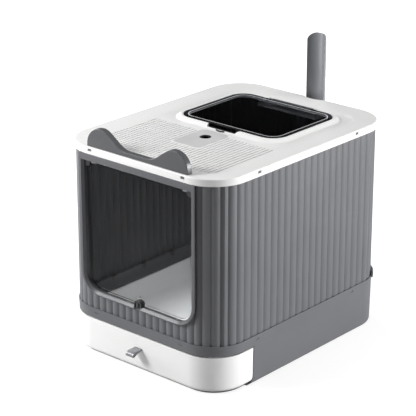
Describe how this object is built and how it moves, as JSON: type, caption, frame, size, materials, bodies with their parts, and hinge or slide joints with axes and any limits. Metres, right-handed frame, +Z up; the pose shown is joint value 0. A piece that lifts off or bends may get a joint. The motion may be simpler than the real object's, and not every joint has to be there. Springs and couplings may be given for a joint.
{
  "type": "drawer litter box",
  "caption": "Covered cat litter box with ribbed grey walls, a white lid with ear trim and clear hatch, a clear swing door and a pull-out litter drawer",
  "frame": {"origin": "middle of the body's footprint, on the floor", "axes": "+X to the right seen from the front, the front faces -Y, +Z up"},
  "size_m": [0.3868, 0.5592, 0.5388],
  "materials": {
    "grey_shell": "satin moulded plastic",
    "grey_gloss": "glossy moulded plastic",
    "white_cover": "glossy moulded plastic",
    "pale_insert": "satin moulded plastic",
    "clear_plastic": "clear smoky plastic",
    "black_carbon": "dull porous",
    "pin_steel": "drawn wire"
  },
  "bodies": {
    "body": {"base_frame": "grey_shell", "drawer_runners": "grey_shell", "front_panel": "grey_shell", "left_panel": "grey_shell", "right_panel": "grey_shell", "back_panel": "grey_shell", "wall_clips": "grey_shell", "door_bezel": "grey_gloss", "flap_brackets": "grey_gloss", "top_cover": "white_cover", "ear_trim": "grey_gloss", "deodoriser_tray": "white_cover", "carbon_cartridge": "black_carbon", "hatch_pin": "pin_steel", "hatch_catch": "grey_gloss", "scoop_holder": "grey_shell"},
    "drawer": {"drawer_pan": "white_cover", "drawer_front": "white_cover", "drawer_pull": "grey_gloss"},
    "flap": {"flap_panel": "clear_plastic", "flap_pins": "pin_steel"},
    "latch": {"latch_knob": "grey_gloss", "latch_cam": "grey_shell", "latch_screw": "pin_steel"},
    "hatch": {"hatch_panel": "clear_plastic", "hatch_hinge_bar": "grey_gloss"},
    "insert": {"deodoriser_cover": "pale_insert"},
    "scoop": {"scoop": "grey_gloss"}
  },
  "joints": [
    {"name": "drawer_slide", "type": "slide", "parent": "body", "child": "drawer", "axis": [0, -1, 0], "range_m": [0, 0.4]},
    {"name": "flap_hinge", "type": "hinge", "parent": "body", "child": "flap", "pos_m": [0, -0.24275, 0.3791], "axis": [1, 0, 0], "range_deg": [-80, 80]},
    {"name": "latch_turn", "type": "hinge", "parent": "body", "child": "latch", "pos_m": [0, -0.245, 0.1325], "axis": [0, 1, 0], "range_deg": [0, 180]},
    {"name": "hatch_hinge", "type": "hinge", "parent": "body", "child": "hatch", "pos_m": [0, 0.194, 0.406], "axis": [-1, 0, 0], "range_deg": [0, 100]},
    {"name": "insert_lift", "type": "slide", "parent": "body", "child": "insert", "axis": [0, 0, 1], "range_m": [0, 0.06]},
    {"name": "scoop_lift", "type": "slide", "parent": "body", "child": "scoop", "axis": [0, 0, 1], "range_m": [0, 0.15]}
  ]
}
